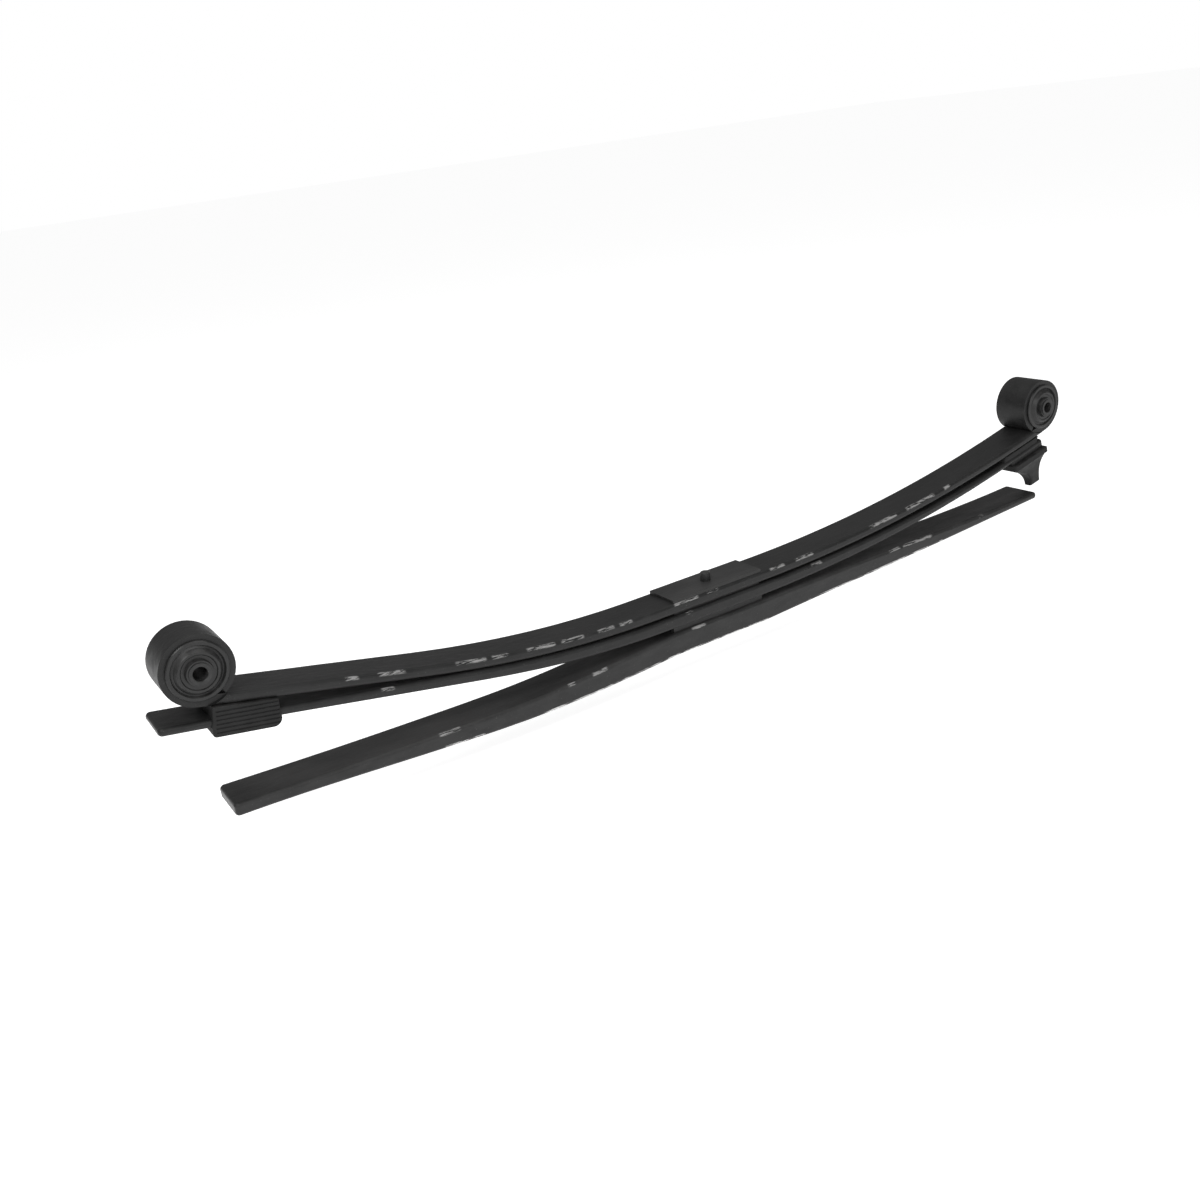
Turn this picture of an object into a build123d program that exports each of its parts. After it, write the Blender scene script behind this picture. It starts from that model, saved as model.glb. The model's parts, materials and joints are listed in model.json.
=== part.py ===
from build123d import *
from math import acos, atan, cos, sin, sqrt
import os

os.makedirs("parts", exist_ok=True)

# Parabolic leaf spring for a light van: a main leaf with two upturned eyes, a second
# leaf, and a thick helper leaf below, held together by one centre bolt.
#
# +X points to the rear eye, +Y to the right side, +Z up. The origin is the axis of the
# centre bolt in the upper face of the top plate, where the spring is clamped.

# ---------------------------------------------------------------- driving dimensions
leaf_width = 70.0
edge_round = 5.0            # rolled round edge of the leaf bars
tip_corner = edge_round + 1.5   # plan corner of a cut leaf end
cut_past = 10.0             # how far a cut runs past the piece it opens

# clamped pack, from the top down
plate_thickness = 4.5
plate_length = 172.0
plate_width = leaf_width - 6.0
liner_width = leaf_width - 14.0  # liner and spacer stay back from the leaf sides
main_seat = 16.5            # main leaf thickness under the plate
liner_thickness = 4.0
liner_length = 168.0
second_seat = 19.5
spacer_thickness = 9.0
spacer_length = 176.0
plate_corner = 1.5
helper_seat = 36.0

# main leaf and its eyes
front_reach = 784.0         # centre bolt to front eye axis, along X
rear_reach = 753.0
main_tip = 14.0             # thickness of the bar where it is rolled into the eyes
eye_bore_radius = 33.0
eye_width = leaf_width - 8.0    # the eyes are milled narrower than the leaf
eye_mouth = 1.5             # end of the bore, left by the rounded edge of the leaf
eye_lip_gap = 0.8           # slit between the rolled end and the leaf
main_front_flat = 120.0     # where each half leaves its flat seat
main_front_radius = 1700.0
main_front_arc = 372.0      # run of the arc, then straight on
main_rear_flat = 100.0
main_rear_radius = 2650.0
main_taper = 560.0          # run over which the bar thins to its tip
long_arc = 700.0            # an arc that runs on to the end of its leaf

# second leaf
second_front_reach = 847.0  # it runs on below the front eye
second_rear_reach = 752.0
second_front_tip = 11.0
second_rear_tip = 10.5
second_front_flat = 110.0
second_front_radius = 1657.0
second_front_arc = 290.0
second_front_taper = 600.0
second_rear_flat = 100.0
second_rear_radius = 2780.0
second_rear_taper = 560.0

# helper leaf
helper_front_reach = 785.0
helper_rear_reach = 738.0
helper_front_tip = 19.0
helper_rear_tip = 12.0
helper_front_flat = 150.0   # where each half starts to thin
helper_front_taper = 476.0
helper_rear_flat = 88.0
helper_rear_taper = 552.0

# eye bushes, both alike
sleeve_bore_radius = 9.1
sleeve_radius = 14.0
sleeve_length = eye_width + 28.0
shell_thickness = 2.0       # thin steel tube pressed into the eye
shell_setback = 1.0         # shell end inside the straight part of the bore
lip_cover = 6.0             # how far the rubber lip lies on the flat side of the eye
lip_height = 4.0
ring_inset = 6.0            # from the eye bore to the raised ring round the middle
sleeve_chamfer = 0.8
collar_setback = 1.5        # rubber collar short of the sleeve end
collar_width = 2.5
face_height = 1.5           # raised ring over the middle of the step to the collar
lip_width = 5.0
lip_bevel = 1.2
groove_floor = 1.6
ring_foot = 3.0
ring_bevel = 1.2
ring_width = 4.0
bond_gap = 0.05             # rubber to inner sleeve
press_gap = 0.1             # eye to bush shell

# centre bolt
bolt_radius = 6.0
bolt_hole_radius = 6.4
head_radius = 8.0
head_height = 14.0          # above the top plate
neck_radius = 7.5           # of the head, inside the top plate
head_gap = 0.3              # top plate to head
washer_radius = 12.0
washer_thickness = 1.5
spot_depth = 1.0            # spot face for the washer in the helper leaf
spot_gap = 0.5
nut_width = 19.0            # across flats
nut_thickness = 6.5
bolt_end = 1.0              # thread that shows past the nut
head_chamfer = 1.5
thread_chamfer = 0.6
thread_gap = 0.05

# rubber pads at the ends of the second leaf
pad_gap = 0.3               # pad to leaf
front_pad_centre = 740.0
front_pad_length = 88.0
front_pad_lean = 7.0        # its outer end leans in towards the main leaf
front_pad_cheek = 3.5       # rubber beside the leaf
front_pad_floor = 12.0      # rubber under the leaf
front_pad_heel = 11.0       # round of the floor, towards the middle of the spring
front_pad_toe = 5.0         # round of the floor, towards the eye
cheek_round = 1.7
cheek_groove_end = 4.0      # groove short of the end of the cheek
cheek_groove_width = 2.2
cheek_groove_depth = 1.2
cheek_groove_pitch = 5.6
cheek_grooves = 6
rear_pad_centre = 695.0
rear_pad_length = 86.0
rear_pad_round = 3.0

# bump stop under the rear end of the second leaf
stop_centre = 716.0         # middle of its plate, along X
stop_plate_length = 82.0
stop_plate_width = leaf_width - 10.0
stop_plate_thickness = 4.0
stop_shoulder_height = 4.0
stop_ledge_length = 88.0
stop_ledge_width = leaf_width + 6.0
stop_ledge_height = 9.0
stop_neck_height = 17.0     # from the ledge to the waist of the block
stop_height = 75.0          # from the ledge to the tip
stop_corner = 4.0
rivet_offset = 14.0         # ahead of the middle of the plate
rivet_radius = 5.0
rivet_hole_radius = 5.8
rivet_head_radius = 9.0
rivet_head_height = 3.5
rivet_head_round = 1.75
rivet_recess = 1.0          # room round the rivet head in the rear pad

# ---------------------------------------------------------------- derived heights
main_top = -plate_thickness
main_bottom = main_top - main_seat
second_top = main_bottom - liner_thickness
second_bottom = second_top - second_seat
helper_top = second_bottom - spacer_thickness
helper_bottom = helper_top - helper_seat
eye_radius = eye_bore_radius + main_tip
seat_half = spacer_length / 2
side = leaf_width / 2
eye_side = eye_width / 2
near_width = leaf_width / 2   # an edge shorter than this runs through the thickness


# ---------------------------------------------------------------- leaf curves
class Half:
    """One half of a leaf: flat over the seat, then an arc, then straight on."""

    def __init__(self, way, flat, radius, arc, seat, tip, taper):
        self.way = way          # -1 front, +1 rear
        self.flat = flat
        self.radius = radius
        self.arc = arc
        self.seat = seat
        self.tip = tip
        self.taper = taper

    def rise(self, reach):
        run = max(reach - self.flat, 0.0)
        bent = min(run, self.arc)
        return bent**2 / (2 * self.radius) + (run - bent) * bent / self.radius

    def slope(self, reach):
        run = min(max(reach - self.flat, 0.0), self.arc)
        return atan(run / self.radius)

    def thickness(self, reach):
        return bar_thickness(reach - self.flat, self.seat, self.tip, self.taper)

    def normal(self, reach):
        """Direction across the leaf, up and towards the middle."""
        angle = self.slope(reach)
        return Vector(-self.way * sin(angle), cos(angle))

    def upper(self, top, reach, gap=0.0):
        """Point on the upper side, or this gap above it."""
        return Vector(self.way * reach, top + self.rise(reach)) + self.normal(reach) * gap

    def lower(self, top, reach, gap=0.0):
        """Point on the underside, or this gap below it."""
        depth = self.thickness(reach) + gap
        return self.upper(top, reach) - self.normal(reach) * depth


def bar_thickness(run, seat, tip, taper):
    """Parabolic bar: the square of the thickness falls evenly along the taper."""
    share = min(max(run, 0.0) / taper, 1.0)
    return sqrt(seat**2 - (seat**2 - tip**2) * share)


main_front = Half(-1, main_front_flat, main_front_radius, main_front_arc,
                  main_seat, main_tip, main_taper)
main_rear = Half(1, main_rear_flat, main_rear_radius, long_arc,
                 main_seat, main_tip, main_taper)
second_front = Half(-1, second_front_flat, second_front_radius, second_front_arc,
                    second_seat, second_front_tip, second_front_taper)
second_rear = Half(1, second_rear_flat, second_rear_radius, long_arc,
                   second_seat, second_rear_tip, second_rear_taper)


def stations(start, end, count=8):
    return [start + (end - start) * i / count for i in range(count + 1)]


def leaf_outline(front, rear, top, front_end, rear_end):
    """Closed side outline of a leaf, drawn inside a BuildLine."""
    front_at = stations(front.flat, front_end)
    rear_at = stations(rear.flat, rear_end)
    upper_front = [front.upper(top, reach) for reach in front_at]
    upper_rear = [rear.upper(top, reach) for reach in rear_at]
    lower_front = [front.lower(top, reach) for reach in front_at]
    lower_rear = [rear.lower(top, reach) for reach in rear_at]
    Line(upper_front[0], upper_rear[0])
    Spline(*upper_rear)
    Line(upper_rear[-1], lower_rear[-1])
    Spline(*lower_rear)
    Line(lower_rear[0], lower_front[0])
    Spline(*lower_front)
    Line(lower_front[-1], upper_front[-1])
    Spline(*upper_front)


def foot_reach(half, reach):
    """Where the bar leaves the eye whose axis is at this reach."""
    foot = reach
    for _ in range(6):
        foot = reach + eye_bore_radius * sin(half.slope(foot))
    return foot


def eye_centre(half, reach):
    foot = foot_reach(half, reach)
    return half.upper(main_top, foot) + half.normal(foot) * eye_bore_radius


front_eye = eye_centre(main_front, front_reach)
rear_eye = eye_centre(main_rear, rear_reach)


def side_edges(part):
    """Edges of the two flat sides of a leaf."""
    sides = part.faces().filter_by(Axis.Y).filter_by(GeomType.PLANE)
    outer = sides.group_by(Axis.Y)[0] + sides.group_by(Axis.Y)[-1]
    return outer.edges()


# ---------------------------------------------------------------- main leaf
def rolled_eye(half, reach):
    """Ring of the eye, open where its end comes back down to the leaf."""
    centre = eye_centre(half, reach)
    foot = foot_reach(half, reach)
    down = half.normal(foot) * -1
    inward = Vector(-down.Y, down.X) * half.way * -1
    open_angle = acos((eye_bore_radius - eye_lip_gap) / eye_radius)
    far = 2 * eye_radius
    corner = centre + down * far * cos(open_angle) + inward * far * sin(open_angle)
    with Locations((centre.X, centre.Y)):
        Circle(eye_radius)
    Polygon(centre, centre + down * far, corner, align=None, mode=Mode.SUBTRACT)


with BuildPart() as main_leaf:
    with BuildSketch(Plane.XZ):
        rolled_eye(main_front, front_reach)
        rolled_eye(main_rear, rear_reach)
        with BuildLine():
            leaf_outline(main_front, main_rear, main_top,
                         foot_reach(main_front, front_reach), foot_reach(main_rear, rear_reach))
        make_face()
        with Locations((front_eye.X, front_eye.Y), (rear_eye.X, rear_eye.Y)):
            Circle(eye_bore_radius, mode=Mode.SUBTRACT)
    extrude(amount=side, both=True)
    fillet([edge for edge in side_edges(main_leaf.part) if edge.length > 2 * main_tip], edge_round)
    for way in (-1, 1):
        with BuildSketch(Plane.XZ.offset(way * eye_side)):
            with Locations((front_eye.X, front_eye.Y), (rear_eye.X, rear_eye.Y)):
                Circle(eye_radius + eye_lip_gap)
        extrude(amount=way * side, mode=Mode.SUBTRACT)
    with Locations((0, 0, main_top)):
        Hole(bolt_hole_radius, depth=main_seat)
main_leaf.part.label = "main_leaf"
export_step(main_leaf.part, "parts/main_leaf.step")


# ---------------------------------------------------------------- second leaf
def leaf_frame(half, top, reach, gap):
    """Plane below a leaf: x towards the rear, z down and square to the leaf."""
    normal = half.normal(reach)
    point = half.lower(top, reach, gap)
    along = Vector(normal.Y, 0, -normal.X)
    return Plane(origin=(point.X, 0, point.Y), x_dir=along, z_dir=(-normal.X, 0, -normal.Y))


stop_frame = leaf_frame(second_rear, second_top, stop_centre, pad_gap)

with BuildPart() as second_leaf:
    with BuildSketch(Plane.XZ):
        with BuildLine():
            leaf_outline(second_front, second_rear, second_top,
                         second_front_reach, second_rear_reach)
        make_face()
    extrude(amount=side, both=True)
    ends = second_leaf.faces().sort_by(Axis.X)
    corners = [edge for face in (ends[0], ends[-1]) for edge in face.edges()
               if edge.length < near_width]
    fillet(corners, tip_corner)
    fillet([edge for edge in side_edges(second_leaf.part)
            if edge.length > 2 * second_seat], edge_round)
    with Locations((0, 0, second_top)):
        Hole(bolt_hole_radius, depth=second_seat)
    with BuildSketch(stop_frame):
        with Locations((-rivet_offset, 0)):
            Circle(rivet_hole_radius)
    extrude(amount=second_seat, both=True, mode=Mode.SUBTRACT)
second_leaf.part.label = "second_leaf"
export_step(second_leaf.part, "parts/second_leaf.step")


# ---------------------------------------------------------------- helper leaf
# Height of the underside over the seat, at shares of the free length of each half. The
# front half sags before it rises to its tip; the rear half rises almost straight.
helper_front_shape = [(0.16, -7.0), (0.35, -9.5), (0.56, -2.5), (0.79, 9.5), (1.0, 17.0)]
helper_rear_shape = [(0.18, 5.5), (0.47, 13.0), (0.77, 23.0), (1.0, 31.0)]


def helper_curves(way, flat, end, tip, taper, shape):
    """Upper and lower points of one half, from the seat edge to the tip."""
    lower = [Vector(way * seat_half, helper_bottom)]
    upper = [Vector(way * seat_half, helper_top)]
    for share, height in shape:
        reach = seat_half + share * (end - seat_half)
        thickness = bar_thickness(reach - flat, helper_seat, tip, taper)
        lower.append(Vector(way * reach, helper_bottom + height))
        upper.append(Vector(way * reach, helper_bottom + height + thickness))
    return upper, lower


front_upper, front_lower = helper_curves(-1, helper_front_flat, helper_front_reach,
                                         helper_front_tip, helper_front_taper,
                                         helper_front_shape)
rear_upper, rear_lower = helper_curves(1, helper_rear_flat, helper_rear_reach,
                                       helper_rear_tip, helper_rear_taper,
                                       helper_rear_shape)

with BuildPart() as helper_leaf:
    with BuildSketch(Plane.XZ):
        with BuildLine():
            Line(front_upper[0], rear_upper[0])
            Spline(*rear_upper)
            Line(rear_upper[-1], rear_lower[-1])
            Spline(*rear_lower)
            Line(rear_lower[0], front_lower[0])
            Spline(*front_lower)
            Line(front_lower[-1], front_upper[-1])
            Spline(*front_upper)
        make_face()
    extrude(amount=side, both=True)
    ends = helper_leaf.faces().sort_by(Axis.X)
    corners = [edge for face in (ends[0], ends[-1]) for edge in face.edges()
               if edge.length < near_width]
    fillet(corners, tip_corner)
    fillet([edge for edge in side_edges(helper_leaf.part)
            if edge.length > helper_seat], edge_round)
    with Locations((0, 0, helper_top)):
        Hole(bolt_hole_radius, depth=helper_seat)
    with BuildSketch(Plane.XY.offset(helper_bottom)):
        Circle(washer_radius + spot_gap)
    extrude(amount=spot_depth, mode=Mode.SUBTRACT)
helper_leaf.part.label = "helper_leaf"
export_step(helper_leaf.part, "parts/helper_leaf.step")


# ---------------------------------------------------------------- plates of the clamped pack
def pack_plate(top, length, width, thickness, hole_radius):
    with BuildPart() as plate:
        with BuildSketch(Plane.XY.offset(top)):
            RectangleRounded(length, width, plate_corner)
            Circle(hole_radius, mode=Mode.SUBTRACT)
        extrude(amount=-thickness)
    return plate


top_plate = pack_plate(0, plate_length, plate_width, plate_thickness, head_radius + head_gap)
top_plate.part.label = "top_plate"
export_step(top_plate.part, "parts/top_plate.step")

pack_liner = pack_plate(main_bottom, liner_length, liner_width, liner_thickness, bolt_hole_radius)
pack_liner.part.label = "pack_liner"
export_step(pack_liner.part, "parts/pack_liner.step")

pack_spacer = pack_plate(second_bottom, spacer_length, liner_width, spacer_thickness,
                         bolt_hole_radius)
pack_spacer.part.label = "pack_spacer"
export_step(pack_spacer.part, "parts/pack_spacer.step")


# ---------------------------------------------------------------- centre bolt, washer and nut
washer_top = helper_bottom + spot_depth
nut_top = washer_top - washer_thickness
bolt_tip = nut_top - nut_thickness - bolt_end

with BuildPart() as centre_bolt:
    with BuildSketch(Plane.XY.offset(bolt_tip)):
        Circle(bolt_radius)
    extrude(amount=main_top - bolt_tip)
    with BuildSketch(Plane.XY.offset(main_top)):
        Circle(neck_radius)
    extrude(amount=-main_top)
    with BuildSketch(Plane.XY):
        Circle(head_radius)
    extrude(amount=head_height)
    chamfer(centre_bolt.faces().sort_by(Axis.Z)[-1].edges(), head_chamfer)
    chamfer(centre_bolt.faces().sort_by(Axis.Z)[0].edges(), thread_chamfer)
centre_bolt.part.label = "centre_bolt"
export_step(centre_bolt.part, "parts/centre_bolt.step")

with BuildPart() as centre_washer:
    with BuildSketch(Plane.XY.offset(washer_top)):
        Circle(washer_radius)
        Circle(bolt_hole_radius, mode=Mode.SUBTRACT)
    extrude(amount=-washer_thickness)
centre_washer.part.label = "centre_washer"
export_step(centre_washer.part, "parts/centre_washer.step")

with BuildPart() as centre_nut:
    with BuildSketch(Plane.XY.offset(nut_top)):
        RegularPolygon(nut_width / 2, 6, major_radius=False)
        Circle(bolt_radius + thread_gap, mode=Mode.SUBTRACT)
    extrude(amount=-nut_thickness)
centre_nut.part.label = "centre_nut"
export_step(centre_nut.part, "parts/centre_nut.step")


# ---------------------------------------------------------------- eye bushes
bore_flat = eye_side - eye_mouth         # end of the straight part of the eye bore
shell_half = bore_flat - shell_setback
shell_radius = eye_bore_radius - press_gap
rubber_radius = shell_radius - shell_thickness
lip_radius = eye_bore_radius + lip_cover
ring_radius = eye_bore_radius - ring_inset
sleeve_half = sleeve_length / 2


def bush_plane(centre):
    """Local x runs out from the eye axis, local y along it."""
    return Plane(origin=(centre.X, 0, centre.Y), x_dir=(1, 0, 0), z_dir=(0, 0, 1))


def bush_axis(centre):
    return Axis((centre.X, 0, centre.Y), (0, 1, 0))


def make_shell(centre):
    with BuildPart() as shell:
        with BuildSketch(bush_plane(centre)):
            with Locations(((rubber_radius + shell_radius) / 2, 0)):
                Rectangle(shell_thickness, 2 * shell_half)
        revolve(axis=bush_axis(centre))
    return shell


def make_sleeve(centre):
    with BuildPart() as sleeve:
        with BuildSketch(bush_plane(centre)):
            with Locations(((sleeve_bore_radius + sleeve_radius) / 2, 0)):
                Rectangle(sleeve_radius - sleeve_bore_radius, sleeve_length)
        revolve(axis=bush_axis(centre))
        rims = sleeve.edges().filter_by(GeomType.CIRCLE).group_by(SortBy.RADIUS)[0]
        chamfer(rims, sleeve_chamfer)
    return sleeve


def make_rubber(centre):
    """Bonded rubber: stepped rings outside, a lip over the round edge of the eye."""
    inner = sleeve_radius + bond_gap
    seat = eye_side + press_gap
    collar = sleeve_half - collar_setback
    face = (seat + collar) / 2 + face_height
    with BuildPart() as rubber:
        with BuildSketch(bush_plane(centre)):
            with BuildLine():
                Line((rubber_radius, 0), (rubber_radius, shell_half))
                Line((rubber_radius, shell_half), (shell_radius, shell_half))
                Line((shell_radius, shell_half), (shell_radius, bore_flat))
                Polyline((shell_radius, bore_flat), (shell_radius, seat), (lip_radius, seat))
                Polyline((lip_radius, seat),
                         (lip_radius, seat + lip_height - lip_bevel),
                         (lip_radius - lip_bevel, seat + lip_height),
                         (lip_radius - lip_width, seat + lip_height),
                         (lip_radius - lip_width - lip_bevel, seat + groove_floor),
                         (ring_radius + ring_foot, seat + groove_floor + lip_bevel),
                         (ring_radius, face - ring_bevel),
                         (ring_radius - ring_bevel, face),
                         (ring_radius - ring_width, face),
                         (ring_radius - ring_width - ring_bevel, face - ring_bevel),
                         (inner + collar_width + ring_bevel, face - ring_bevel),
                         (inner + collar_width, collar),
                         (inner, collar),
                         (inner, 0))
                Line((inner, 0), (rubber_radius, 0))
            make_face()
        revolve(axis=bush_axis(centre))
        mirror(about=Plane.XZ)
    return rubber


for end, centre in (("front", front_eye), ("rear", rear_eye)):
    shell = make_shell(centre)
    shell.part.label = f"{end}_bush_shell"
    export_step(shell.part, f"parts/{end}_bush_shell.step")
    rubber = make_rubber(centre)
    rubber.part.label = f"{end}_bush_rubber"
    export_step(rubber.part, f"parts/{end}_bush_rubber.step")
    sleeve = make_sleeve(centre)
    sleeve.part.label = f"{end}_bush_sleeve"
    export_step(sleeve.part, f"parts/{end}_bush_sleeve.step")


# ---------------------------------------------------------------- rubber pads
pad_inner = front_pad_centre - front_pad_length / 2
pad_outer = front_pad_centre + front_pad_length / 2
slot_inner = pad_inner - cut_past
slot_outer = pad_outer + cut_past
cheek_side = side + front_pad_cheek
lowest_groove = second_front_tip + front_pad_floor / 2
groove_depths = [lowest_groove - i * cheek_groove_pitch for i in range(cheek_grooves)]

# The front pad is a rubber loop round the second leaf, with a block on top that fills
# the gap to the main leaf and a thick floor below.
with BuildPart() as front_pad:
    with BuildSketch(Plane.XZ):
        Polygon(main_front.lower(main_top, pad_inner, pad_gap),
                main_front.lower(main_top, pad_outer - front_pad_lean, pad_gap),
                second_front.lower(second_top, pad_outer, front_pad_floor),
                second_front.lower(second_top, pad_inner, front_pad_floor), align=None)
    extrude(amount=cheek_side, both=True)
    floor_edges = front_pad.faces().sort_by(Axis.Z)[0].edges().filter_by(Axis.Y)
    fillet(floor_edges.sort_by(Axis.X)[0], front_pad_toe)
    floor_edges = front_pad.edges().filter_by(Axis.Y).filter_by(GeomType.LINE)
    fillet(floor_edges.sort_by(Axis.Z)[0], front_pad_heel)
    fillet(front_pad.faces().filter_by(Axis.Y).edges(), cheek_round)
    with BuildSketch(Plane.XZ):
        Polygon(second_front.upper(second_top, slot_inner, pad_gap),
                second_front.upper(second_top, slot_outer, pad_gap),
                second_front.lower(second_top, slot_outer, pad_gap),
                second_front.lower(second_top, slot_inner, pad_gap), align=None)
    extrude(amount=side + pad_gap, both=True, mode=Mode.SUBTRACT)
    middle = second_front.upper(second_top, front_pad_centre)
    along = second_front.upper(second_top, pad_inner) - second_front.upper(second_top, pad_outer)
    cheek_frame = Plane(origin=(middle.X, 0, middle.Y), x_dir=(along.X, 0, along.Y),
                        z_dir=(0, 1, 0))
    for cheek in (-cheek_side, cheek_side):
        with BuildSketch(cheek_frame.offset(cheek)):
            with Locations([(0, depth) for depth in groove_depths]):
                SlotOverall(front_pad_length - 2 * cheek_groove_end, cheek_groove_width)
        extrude(amount=cheek_groove_depth, both=True, mode=Mode.SUBTRACT)
front_pad.part.label = "front_pad"
export_step(front_pad.part, "parts/front_pad.step")

# The rear pad fills the gap between the main and the second leaf.
rear_at = stations(rear_pad_centre - rear_pad_length / 2, rear_pad_centre + rear_pad_length / 2, 2)
roof = [main_rear.lower(main_top, reach, pad_gap) for reach in rear_at]
base = [second_rear.upper(second_top, reach, pad_gap) for reach in rear_at]
rivet_head_top = second_rear_tip + 2 * pad_gap + rivet_head_height

with BuildPart() as rear_pad:
    with BuildSketch(Plane.XZ):
        with BuildLine():
            ThreePointArc(*roof)
            Line(roof[-1], base[-1])
            ThreePointArc(*base)
            Line(base[0], roof[0])
        make_face()
    extrude(amount=side, both=True)
    fillet([edge for edge in rear_pad.edges() if edge.length < near_width], rear_pad_round)
    with BuildSketch(stop_frame):
        with Locations((-rivet_offset, 0)):
            Circle(rivet_head_radius + rivet_recess)
    extrude(amount=-(rivet_head_top + rivet_recess), mode=Mode.SUBTRACT)
rear_pad.part.label = "rear_pad"
export_step(rear_pad.part, "parts/rear_pad.step")


# ---------------------------------------------------------------- bump stop
shoulder_at = stop_plate_thickness
ledge_at = shoulder_at + stop_shoulder_height
block_at = ledge_at + stop_ledge_height
neck_at = block_at + stop_neck_height
tip_at = ledge_at + stop_height
low_at = (neck_at + tip_at) / 2

with BuildPart() as stop_plate:
    with BuildSketch(stop_frame):
        RectangleRounded(stop_plate_length, stop_plate_width, stop_corner)
        with Locations((-rivet_offset, 0)):
            Circle(rivet_radius, mode=Mode.SUBTRACT)
    extrude(amount=stop_plate_thickness)
stop_plate.part.label = "stop_plate"
export_step(stop_plate.part, "parts/stop_plate.step")

# The block tapers to its tip. Its rear flank stays nearly square to the leaf and its front
# flank slopes back, so each section has its own ends along the leaf: depth, front end, rear
# end, width.
stop_sections = [
    (block_at, -0.49, 0.49, 0.94),
    (neck_at, -0.23, 0.48, 0.63),
    (low_at, 0.15, 0.48, 0.37),
    (tip_at, 0.21, 0.52, 0.20),
]

with BuildPart() as bump_stop:
    with BuildSketch(stop_frame.offset(shoulder_at)):
        RectangleRounded(stop_plate_length, stop_plate_width, stop_corner)
    extrude(amount=stop_shoulder_height)
    with BuildSketch(stop_frame.offset(ledge_at)):
        RectangleRounded(stop_ledge_length, stop_ledge_width, stop_corner)
    extrude(amount=stop_ledge_height)
    for depth, front_share, rear_share, width_share in stop_sections:
        length = (rear_share - front_share) * stop_ledge_length
        middle = (rear_share + front_share) / 2 * stop_ledge_length
        with BuildSketch(stop_frame.offset(depth)):
            with Locations((middle, 0)):
                RectangleRounded(length, width_share * stop_ledge_width, stop_corner)
    loft()
bump_stop.part.label = "bump_stop"
export_step(bump_stop.part, "parts/bump_stop.step")

# The rivet holds the stop's plate to the second leaf; its head sits in the rear pad.
with BuildPart() as stop_rivet:
    with BuildSketch(stop_frame.offset(stop_plate_thickness)):
        with Locations((-rivet_offset, 0)):
            Circle(rivet_radius)
    extrude(amount=-(stop_plate_thickness + rivet_head_top))
    with BuildSketch(stop_frame.offset(-rivet_head_top)):
        with Locations((-rivet_offset, 0)):
            Circle(rivet_head_radius)
    extrude(amount=rivet_head_height)
    fillet(stop_rivet.faces().sort_by(Axis.Z)[-1].edges(), rivet_head_round)
stop_rivet.part.label = "stop_rivet"
export_step(stop_rivet.part, "parts/stop_rivet.step")
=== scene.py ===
import json

import bmesh
import bpy
import numpy as np
from mathutils import Matrix, Vector
from mathutils.bvhtree import BVHTree


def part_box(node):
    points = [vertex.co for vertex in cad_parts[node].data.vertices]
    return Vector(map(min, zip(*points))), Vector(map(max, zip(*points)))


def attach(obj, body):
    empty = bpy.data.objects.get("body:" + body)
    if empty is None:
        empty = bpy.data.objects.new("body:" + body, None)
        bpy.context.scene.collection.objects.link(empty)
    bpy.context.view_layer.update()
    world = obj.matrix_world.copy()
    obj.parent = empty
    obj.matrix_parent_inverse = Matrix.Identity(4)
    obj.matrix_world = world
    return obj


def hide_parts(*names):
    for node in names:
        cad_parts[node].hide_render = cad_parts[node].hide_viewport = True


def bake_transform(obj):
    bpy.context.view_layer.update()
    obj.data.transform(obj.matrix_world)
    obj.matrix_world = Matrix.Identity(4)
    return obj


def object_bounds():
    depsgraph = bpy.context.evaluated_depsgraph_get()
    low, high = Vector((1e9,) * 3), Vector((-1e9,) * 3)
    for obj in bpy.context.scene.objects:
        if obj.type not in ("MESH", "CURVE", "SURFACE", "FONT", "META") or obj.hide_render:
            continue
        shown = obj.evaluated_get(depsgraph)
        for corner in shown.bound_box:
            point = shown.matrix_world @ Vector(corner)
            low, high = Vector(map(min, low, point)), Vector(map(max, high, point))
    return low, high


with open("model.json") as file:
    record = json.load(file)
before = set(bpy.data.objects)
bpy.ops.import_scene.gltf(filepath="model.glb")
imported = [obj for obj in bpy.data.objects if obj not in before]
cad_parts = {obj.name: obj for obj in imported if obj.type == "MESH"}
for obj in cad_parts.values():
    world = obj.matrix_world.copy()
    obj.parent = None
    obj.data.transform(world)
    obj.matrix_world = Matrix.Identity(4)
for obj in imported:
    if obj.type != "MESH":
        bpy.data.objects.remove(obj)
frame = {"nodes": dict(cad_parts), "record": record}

# A parabolic leaf spring: black painted leaves, rubber-bushed eyes, rubber pads between the
# leaf ends and a bump stop. Each half of a leaf is a mesh of its own, cut across into slices.
# The helper leaf's front half is attached to the clamped pack and stays rigid with it.
# Lengths are in metres, in the frame of the CAD.

nodes = frame["nodes"]
cad_low, cad_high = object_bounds()

slice_length = 0.016        # longest spacing of the cross cuts that let a leaf bend
weld = 1e-6                 # points nearer than this are one
inward = 0.02               # how far a corner is moved to its face's middle to find the CAD face
no_area = 1e-24             # squared area below which a triangle has no inside

dust_grey = 0.30
bare_grey = 0.16            # cut ends
scuff_grey = 0.30           # upper round edges
# near-white on the lower round edges: chipped paint and a painted highlight of the white floor
chip_and_highlight_grey = 0.72            # lower round edges
nick_grey = 0.30


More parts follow.
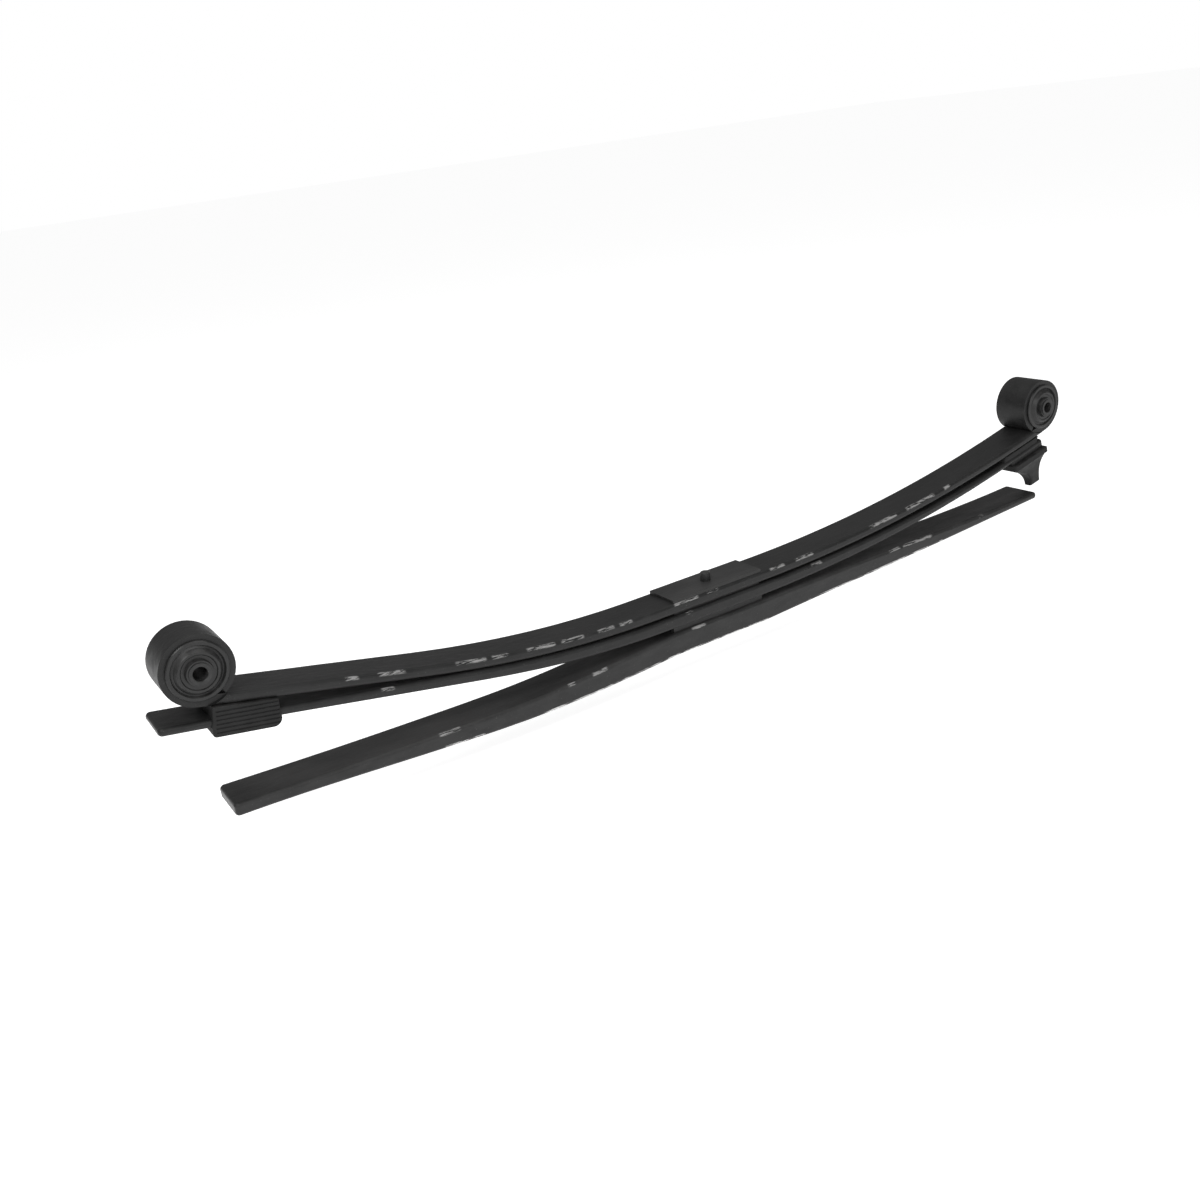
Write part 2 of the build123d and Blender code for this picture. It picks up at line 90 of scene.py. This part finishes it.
# ---------------------------------------------------------------- node materials
class Surface:
    """A node material under construction, with the Principled shader as its end."""

    def __init__(self, name):
        self.material = bpy.data.materials.new(name)
        self.material.use_nodes = True
        self.tree = self.material.node_tree
        self.shader = self.tree.nodes["Principled BSDF"]
        self.place = self.add("ShaderNodeTexCoord").outputs["Object"]
        self.facing = self.add("ShaderNodeNewGeometry").outputs["Normal"]

    def add(self, kind, inputs=(), **settings):
        node = self.tree.nodes.new(kind)
        for name, value in settings.items():
            setattr(node, name, value)
        for name, value in dict(inputs).items():
            self.put(node.inputs[name], value)
        return node

    def put(self, socket, value):
        if isinstance(value, bpy.types.NodeSocket):
            self.tree.links.new(value, socket)
        else:
            socket.default_value = value

    def math(self, operation, *values):
        node = self.add("ShaderNodeMath", operation=operation)
        for socket, value in zip(node.inputs, values):
            self.put(socket, value)
        return node.outputs[0]

    def stretched(self, scale, move=(0, 0, 0)):
        """The place on the surface, scaled along each axis."""
        node = self.add("ShaderNodeMapping", {"Vector": self.place, "Scale": scale,
                                              "Location": move})
        return node.outputs[0]

    def noise(self, scale, place=None, detail=4.0, roughness=0.55, distortion=0.0):
        node = self.add("ShaderNodeTexNoise",
                        {"Vector": place or self.place, "Scale": scale, "Detail": detail,
                         "Roughness": roughness, "Distortion": distortion})
        return node.outputs["Fac"]

    def step(self, value, low, high, bottom=0.0, top=1.0):
        """Smooth step from bottom to top as the value goes from low to high."""
        node = self.add("ShaderNodeMapRange",
                        {"Value": value, "From Min": low, "From Max": high,
                         "To Min": bottom, "To Max": top}, interpolation_type="SMOOTHSTEP")
        return node.outputs["Result"]

    def mixed(self, share, first, second):
        node = self.add("ShaderNodeMix", data_type="RGBA")
        for socket, value in zip((node.inputs[0], node.inputs[6], node.inputs[7]),
                                 (share, first, second)):
            self.put(socket, value)
        return node.outputs[2]

    def bump(self, height, depth, below=None):
        node = self.add("ShaderNodeBump", {"Height": height, "Distance": depth, "Strength": 1.0})
        if below is not None:
            self.put(node.inputs["Normal"], below)
        return node.outputs["Normal"]

    def axes(self, vector):
        return self.add("ShaderNodeSeparateXYZ", {"Vector": vector}).outputs

    def finish(self, colour, roughness, normal):
        self.put(self.shader.inputs["Base Color"], colour)
        self.put(self.shader.inputs["Roughness"], roughness)
        self.put(self.shader.inputs["Normal"], normal)
        return self.material


def grey(value, warmth=0.0):
    return (value * (1 + warmth), value, value * (1 - warmth), 1.0)


def paint(name, base, dust, gloss, seed, bare=0.0, upper=(), lower=()):
    """Black chassis paint over rolled steel: mottled and dusty where it faces up. It is rubbed to
    pale grey in the places given along the upper round edges. Along the lower round edges the
    places given get near-white chipped paint, which is also a painted highlight of the white
    floor on these edges. The cut ends are rubbed to pale grey by the share given in bare."""
    skin = Surface(name)
    along = skin.stretched((1.0, 2.4, 2.4), (seed, 0, 0))
    mottle = skin.noise(26.0, along, detail=6.0)
    cloud = skin.noise(5.5, along, detail=3.0)
    fine = skin.noise(900.0, detail=2.0)
    normal = skin.axes(skin.facing)
    settled = skin.math("MULTIPLY", skin.step(normal["Z"], 0.3, 0.95),
                        skin.step(cloud, 0.30, 0.72))
    colour = skin.mixed(skin.step(mottle, 0.3, 0.7), grey(base * 0.8), grey(base * 1.25))
    colour = skin.mixed(skin.math("MULTIPLY", settled, dust), colour,
                        grey(dust_grey, 0.02))
    specks = skin.step(skin.noise(420.0, detail=1.0), 0.70, 0.76)
    colour = skin.mixed(skin.math("MULTIPLY", specks, 0.08), colour, grey(dust_grey))
    roughness = skin.step(mottle, 0.25, 0.8, gloss, gloss + 0.16)
    ends = skin.step(skin.math("ABSOLUTE", normal["X"]), 0.86, 0.93, 0.0, bare)
    colour = skin.mixed(skin.math("MULTIPLY", ends, skin.step(mottle, 0.2, 0.6)), colour,
                        grey(bare_grey))
    if upper:
        wear_and_highlight = skin.math("MULTIPLY", wear_and_highlight_dashes(skin, seed, 1), patches(skin, upper))
        colour = skin.mixed(wear_and_highlight, colour, grey(scuff_grey, 0.01))
        roughness = skin.math("MULTIPLY_ADD", wear_and_highlight, 0.2, roughness)
    # On the lower round edges: near-white chipped paint that is also a painted highlight of the
    # white floor.
    if lower:
        wear_and_highlight = skin.math("MULTIPLY", wear_and_highlight_dashes(skin, seed + 4, -1), patches(skin, lower))
        colour = skin.mixed(wear_and_highlight, colour, grey(chip_and_highlight_grey, 0.01))
    skin.shader.inputs["Specular IOR Level"].default_value = 0.25
    waves = skin.bump(skin.noise(42.0, along, detail=3.0), 0.0006)
    peel = skin.bump(fine, 0.00004, waves)
    return skin.finish(colour, roughness, peel)


def wear_and_highlight_dashes(skin, seed, way):
    """Thin broken dashes on the upper (1) or lower (-1) round edges of a leaf: wear on the upper
    edges, chipped paint with a painted highlight on the lower edges.
    """
    normal = skin.axes(skin.facing)
    tilt = skin.math("MULTIPLY", skin.step(skin.math("MULTIPLY", normal["Z"], way), 0.12, 0.4),
                     skin.step(skin.math("ABSOLUTE", normal["Y"]), 0.18, 0.45))
    dashes = skin.noise(150.0, skin.stretched((0.30, 2.6, 2.6), (seed, seed, 0)), detail=6.0,
                        roughness=0.75)
    return skin.math("MULTIPLY", tilt, skin.step(dashes, 0.47, 0.54, 0.0, 0.85))


def patches(skin, places):
    """Share of the leaf's length near any of these places, each (middle, half length)."""
    x = skin.axes(skin.place)["X"]
    share = 0.0
    for centre, half in places:
        away = skin.math("ABSOLUTE", skin.math("SUBTRACT", x, centre))
        share = skin.math("MAXIMUM", share, skin.step(away, half - 0.002, half + 0.003, 1.0, 0.0))
    return share


def rubber(name, base, seed, gloss, shine):
    """Moulded black rubber with a fine grain, bloom and a little dust."""
    skin = Surface(name)
    bloom = skin.noise(60.0, skin.stretched((1, 1, 1), (seed, 0, 0)), detail=5.0)
    grain = skin.noise(1400.0, detail=2.0)
    colour = skin.mixed(skin.step(bloom, 0.32, 0.72), grey(base * 0.75), grey(base * 1.35))
    up = skin.axes(skin.facing)["Z"]
    dusty = skin.math("MULTIPLY", skin.step(up, 0.1, 0.9),
                      skin.step(bloom, 0.35, 0.7, 0.02, 0.08))
    colour = skin.mixed(dusty, colour, grey(0.32, 0.02))
    roughness = skin.step(bloom, 0.3, 0.75, gloss, gloss + 0.2)
    pores = skin.bump(grain, 0.00006, skin.bump(bloom, 0.0003))
    skin.shader.inputs["Specular IOR Level"].default_value = shine
    return skin.finish(colour, roughness, pores)


def plated(name, base, seed):
    """Dark coated steel with turned marks round the eye axis and bright nicks."""
    skin = Surface(name)
    marks = skin.noise(700.0, skin.stretched((1.0, 0.12, 1.0), (seed, 0, 0)), detail=3.0)
    patch = skin.noise(90.0, detail=4.0)
    colour = skin.mixed(skin.step(patch, 0.35, 0.7), grey(base * 0.7), grey(base * 1.4))
    nicks = skin.step(skin.noise(330.0, detail=2.0), 0.66, 0.72)
    colour = skin.mixed(skin.math("MULTIPLY", nicks, 0.10), colour, grey(nick_grey))
    skin.shader.inputs["Specular IOR Level"].default_value = 0.3
    return skin.finish(colour, skin.step(patch, 0.3, 0.7, 0.34, 0.52),
                       skin.bump(marks, 0.00008))


# Where the round edges are worn, and where the helper's lower edges also get a painted highlight:
# (place along X, half length) of each marked stretch.
main_scuffs = [(-0.600, 0.008), (-0.545, 0.018), (-0.430, 0.022), (-0.385, 0.012),
               (-0.320, 0.022), (-0.268, 0.018), (-0.210, 0.013), (-0.175, 0.010),
               (-0.063, 0.022), (-0.012, 0.010), (0.118, 0.014), (0.175, 0.018),
               (0.352, 0.030), (0.440, 0.033), (0.505, 0.006)]
second_scuffs = [(-0.555, 0.008), (-0.06, 0.006), (0.20, 0.01)]
helper_scuffs = [(-0.480, 0.015), (-0.280, 0.005), (-0.230, 0.012), (-0.045, 0.012),
                 (0.375, 0.012), (0.430, 0.034), (0.590, 0.005)]
# Lower edges of the helper: chipped paint and a painted highlight of the white floor.
helper_chips_and_highlights = [(-0.46, 0.03), (-0.12, 0.21), (0.33, 0.16)]

leaf_paints = {
    "main_leaf": paint("main leaf paint", base=0.014, dust=0.02, gloss=0.40, seed=1.3,
                       upper=main_scuffs),
    "second_leaf": paint("second leaf paint", base=0.015, dust=0.02, gloss=0.40, seed=4.1,
                         bare=0.8, upper=second_scuffs),
    "helper_leaf": paint("helper leaf paint", base=0.022, dust=0.09, gloss=0.40, seed=7.7,
                         bare=0.8, upper=helper_scuffs, lower=helper_chips_and_highlights),
}
plate_paint = paint("plate paint", base=0.024, dust=0.07, gloss=0.42, seed=2.9)
bolt_paint = paint("bolt paint", base=0.028, dust=0.05, gloss=0.36, seed=5.2)
bush_rubber = rubber("bush rubber", base=0.012, seed=0.4, gloss=0.28, shine=0.36)
pad_rubber = rubber("pad rubber", base=0.013, seed=2.2, gloss=0.58, shine=0.22)
sleeve_coat = plated("sleeve coat", base=0.022, seed=3.0)
shell_coat = plated("shell coat", base=0.03, seed=6.0)

finishes = {
    "leaf_paint": plate_paint,
    "plate_paint": plate_paint,
    "bolt_steel": bolt_paint,
    "shell_steel": shell_coat,
    "sleeve_steel": sleeve_coat,
    "bush_rubber": bush_rubber,
    "pad_rubber": pad_rubber,
}

for subpart in frame["record"]["subparts"]:
    node = nodes[subpart["node"]]
    node.data.materials.clear()
    node.data.materials.append(finishes[subpart["material_slot"]])


# ---------------------------------------------------------------- leaves cut across so that they can bend
def cut(mesh_data, at, clear_outer=False, clear_inner=False):
    """Cut straight across the leaf at this place along X."""
    everything = mesh_data.verts[:] + mesh_data.edges[:] + mesh_data.faces[:]
    bmesh.ops.bisect_plane(mesh_data, geom=everything, dist=weld, plane_co=(at, 0, 0),
                           plane_no=(1, 0, 0), clear_outer=clear_outer, clear_inner=clear_inner)


def copy_normals(mesh, source):
    """Give each corner the normal of the CAD surface below it, so the cuts don't show."""
    corners = np.array([corner.vector for corner in source.corner_normals])
    source.calc_loop_triangles()
    triangles = [tuple(t.vertices) for t in source.loop_triangles]
    loops = [tuple(t.loops) for t in source.loop_triangles]
    points = [vertex.co.copy() for vertex in source.vertices]
    tree = BVHTree.FromPolygons(points, triangles)
    normals = [None] * len(mesh.loops)
    for face in mesh.polygons:
        centre = face.center
        for loop in face.loop_indices:
            corner = mesh.vertices[mesh.loops[loop].vertex_index].co
            probe = corner.lerp(centre, inward)
            found, _, index, _ = tree.find_nearest(probe)
            weights = barycentric(found, [points[i] for i in triangles[index]])
            blended = sum((Vector(corners[i]) * w for i, w in zip(loops[index], weights)),
                          Vector())
            normals[loop] = blended.normalized() if blended.length else face.normal
    mesh.normals_split_custom_set(normals)


def barycentric(point, triangle):
    """Share of each corner of the triangle at this point in it."""
    a, b, c = triangle
    whole = (b - a).cross(c - a)
    area = whole.length_squared
    if area < no_area:
        return (1 / 3, 1 / 3, 1 / 3)
    second = (c - point).cross(a - point).dot(whole) / area
    third = (a - point).cross(b - point).dot(whole) / area
    return (1 - second - third, second, third)


def leaf_half(leaf, way):
    """The half of a leaf on one side of the centre bolt, cut across so that it can bend."""
    low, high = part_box(leaf)
    reach = high.x if way > 0 else -low.x
    source = nodes[leaf].data
    mesh_data = bmesh.new()
    mesh_data.from_mesh(source)
    bmesh.ops.remove_doubles(mesh_data, verts=mesh_data.verts, dist=weld)
    cut(mesh_data, 0.0, clear_inner=way > 0, clear_outer=way < 0)
    rim = [edge for edge in mesh_data.edges if edge.is_boundary]
    bmesh.ops.holes_fill(mesh_data, edges=rim, sides=0)
    cuts = int(reach / slice_length)
    for i in range(1, cuts + 1):
        cut(mesh_data, way * reach * i / (cuts + 1))
    end = "rear" if way > 0 else "front"
    mesh = bpy.data.meshes.new(f"{leaf}_{end}")
    mesh_data.to_mesh(mesh)
    mesh_data.free()
    mesh.polygons.foreach_set("use_smooth", [True] * len(mesh.polygons))
    copy_normals(mesh, source)
    mesh.materials.append(leaf_paints[leaf])
    piece = bpy.data.objects.new(mesh.name, mesh)
    bpy.context.scene.collection.objects.link(piece)
    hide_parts(leaf)
    return piece


for leaf in ("main_leaf", "second_leaf"):
    front = leaf_half(leaf, -1)
    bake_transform(front)
    rear = leaf_half(leaf, 1)
    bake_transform(rear)

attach(leaf_half("helper_leaf", -1), "clamped_pack")
helper_rear = leaf_half("helper_leaf", 1)
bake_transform(helper_rear)


# ---------------------------------------------------------------- floor, light and camera
def plain(name, value, glow):
    """Matte white floor that is bright enough by itself to run on into the backdrop."""
    skin = Surface(name)
    cloud = skin.noise(1.2, detail=2.0)
    skin.shader.inputs["Emission Color"].default_value = (1, 1, 1, 1)
    skin.shader.inputs["Emission Strength"].default_value = glow
    return skin.finish(skin.mixed(cloud, grey(value * 0.985), grey(value)), 0.9,
                       skin.bump(skin.noise(300.0), 0.00005))


floor_size = 60.0
drop = 0.035                # the helper's rear half bends below its lowest point at rest
bpy.ops.mesh.primitive_plane_add(size=floor_size, location=(0, 0, cad_low.z - drop))
floor = bpy.context.active_object
floor.name = "floor"
floor.data.materials.append(plain("floor", value=0.80, glow=0.76))


def softbox(name, place, size, power, target=(0, 0, 0)):
    light = bpy.data.lights.new(name, "AREA")
    light.shape = "RECTANGLE"
    light.size, light.size_y = size
    light.energy = power
    lamp = bpy.data.objects.new(name, light)
    lamp.location = place
    lamp.rotation_euler = (Vector(target) - Vector(place)).to_track_quat("-Z", "Y").to_euler()
    bpy.context.scene.collection.objects.link(lamp)


softbox("overhead", place=(0.2, 0.3, 2.6), size=(3.2, 2.4), power=24.0)
softbox("left", place=(-2.0, -1.6, 2.4), size=(0.8, 0.8), power=40.0)
softbox("near", place=(-0.4, -2.8, 1.5), size=(2.4, 1.2), power=30.0)

# The white backdrop is brighter to the camera than it is as a light.
light_strength = 0.26
backdrop_strength = 1.0

world = bpy.data.worlds.new("studio")
bpy.context.scene.world = world
world.use_nodes = True
world_tree = world.node_tree
background = world_tree.nodes["Background"]
path = world_tree.nodes.new("ShaderNodeLightPath")
brightness = world_tree.nodes.new("ShaderNodeMapRange")
world_tree.links.new(path.outputs["Is Camera Ray"], brightness.inputs["Value"])
brightness.inputs["To Min"].default_value = light_strength
brightness.inputs["To Max"].default_value = backdrop_strength
world_tree.links.new(brightness.outputs["Result"], background.inputs["Strength"])
background.inputs["Color"].default_value = (1, 1, 1, 1)

image_width = 1200          # pixels
focal_pixels = 1220.4       # focal length
sensor_width = 36.0         # mm
camera_place = (-1.0395, -1.4624, 0.6985)
camera_data = bpy.data.cameras.new("camera")
camera_data.sensor_width = sensor_width
camera_data.lens = focal_pixels / image_width * sensor_width
camera = bpy.data.objects.new("camera", camera_data)
bpy.context.scene.collection.objects.link(camera)
right = Vector((0.83387, -0.53821, -0.12307))
upward = Vector((0.29756, 0.25028, 0.92142))
backward = right.cross(upward)
turn = Matrix((right, upward, backward)).transposed().to_4x4()
camera.matrix_world = Matrix.Translation(camera_place) @ turn
bpy.context.scene.camera = camera
bpy.context.scene.view_settings.view_transform = "Standard"
